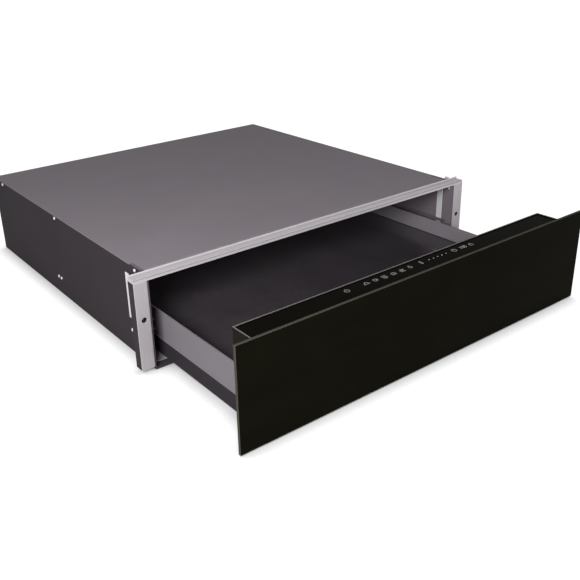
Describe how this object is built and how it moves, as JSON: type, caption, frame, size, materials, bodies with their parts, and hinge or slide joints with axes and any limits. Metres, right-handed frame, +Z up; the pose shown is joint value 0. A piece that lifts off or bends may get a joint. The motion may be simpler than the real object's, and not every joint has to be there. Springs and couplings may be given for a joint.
{
  "type": "built-in warming drawer",
  "caption": "Built-in warming drawer, part open: flat steel housing with a slim metal front frame, heated drawer on ball runners, and a black glass front with a touch control strip.",
  "frame": {"origin": "underside of the housing at mid width, in the plane of the front frame's face", "axes": "+X to the right seen from the front, +Y to the back, +Z up"},
  "size_m": [0.595, 0.767, 0.134],
  "materials": {
    "cover_paint": "satin",
    "casing_paint": "satin",
    "frame_aluminium": "satin",
    "zinc_steel": "bright",
    "spring_steel": "bright",
    "rail_steel": "bright",
    "drawer_paint": "satin",
    "skirt_paint": "satin",
    "strip_paint": "satin",
    "floor_glass": "gloss",
    "front_glass": "gloss",
    "control_glass": "gloss",
    "black_rubber": "matt",
    "black_plastic": "matt",
    "white_nylon": "matt",
    "circuit_board": "matt",
    "heater_foil": "satin",
    "mineral_wool": "matt",
    "motor_steel": "satin"
  },
  "bodies": {
    "housing": {"base_pan": "casing_paint", "top_cover": "cover_paint", "rear_panel": "casing_paint", "frame_top_rail": "frame_aluminium", "casing_screws": "zinc_steel", "frame_screws": "zinc_steel", "rear_partition": "casing_paint", "blower_casing": "motor_steel", "blower_motor": "motor_steel", "power_board": "circuit_board", "board_standoffs": "black_plastic", "terminal_block": "black_plastic", "cable_gland": "black_plastic", "temperature_sensor": "motor_steel", "latch_body": "black_plastic", "left_side_panel": "casing_paint", "right_side_panel": "casing_paint", "left_frame_post": "frame_aluminium", "right_frame_post": "frame_aluminium", "left_post_channel": "casing_paint", "right_post_channel": "casing_paint", "left_centring_spring": "spring_steel", "right_centring_spring": "spring_steel", "left_runner_brackets": "zinc_steel", "right_runner_brackets": "zinc_steel", "left_fixed_rail": "rail_steel", "right_fixed_rail": "rail_steel", "left_guide_channel": "casing_paint", "right_guide_channel": "casing_paint"},
    "middle_members": {"left_middle_rail": "rail_steel", "right_middle_rail": "rail_steel"},
    "outer_cages": {"outer_ball_cages": "rail_steel"},
    "inner_cages": {"inner_ball_cages": "rail_steel"},
    "blower_rotor": {"blower_wheel": "black_plastic", "motor_rotor": "motor_steel"},
    "latch_plunger": {"latch_plunger": "black_plastic"},
    "drawer": {"left_drawer_rail": "rail_steel", "right_drawer_rail": "rail_steel", "left_drawer_wall": "drawer_paint", "right_drawer_wall": "drawer_paint", "left_drawer_skirt": "skirt_paint", "right_drawer_skirt": "skirt_paint", "drawer_rear_wall": "drawer_paint", "floor_tray": "drawer_paint", "floor_heater": "heater_foil", "floor_glass": "floor_glass", "floor_seal": "black_rubber", "under_pan": "skirt_paint", "insulation_pad": "mineral_wool", "front_glass": "front_glass", "front_carrier": "skirt_paint", "control_housing": "strip_paint", "control_carrier": "black_plastic", "control_glass": "control_glass", "touch_board": "circuit_board", "front_buffers": "black_rubber", "drawer_screws": "zinc_steel", "rear_glides": "white_nylon", "latch_striker": "zinc_steel"}
  },
  "joints": [
    {"name": "drawer_slide", "type": "slide", "parent": "housing", "child": "drawer", "axis": [0, -1, 0], "range_m": [-0.203, 0.217]},
    {"name": "middle_slide", "type": "slide", "parent": "housing", "child": "middle_members", "axis": [0, -1, 0], "range_m": [-0.1015, 0.1085]},
    {"name": "outer_cage_slide", "type": "slide", "parent": "housing", "child": "outer_cages", "axis": [0, -1, 0], "range_m": [-0.05075, 0.05425]},
    {"name": "inner_cage_slide", "type": "slide", "parent": "housing", "child": "inner_cages", "axis": [0, -1, 0], "range_m": [-0.15225, 0.16275]},
    {"name": "latch_plunge", "type": "slide", "parent": "housing", "child": "latch_plunger", "axis": [0, -1, 0], "range_m": [-0.003, 0]},
    {"name": "blower_spin", "type": "hinge", "parent": "housing", "child": "blower_rotor", "pos_m": [0.118, 0.515, 0.062], "axis": [1, 0, 0], "continuous": true}
  ],
  "couplings": [
    {"joint": "middle_slide", "follows": "drawer_slide", "ratio": 0.5},
    {"joint": "outer_cage_slide", "follows": "drawer_slide", "ratio": 0.25},
    {"joint": "inner_cage_slide", "follows": "drawer_slide", "ratio": 0.75}
  ]
}
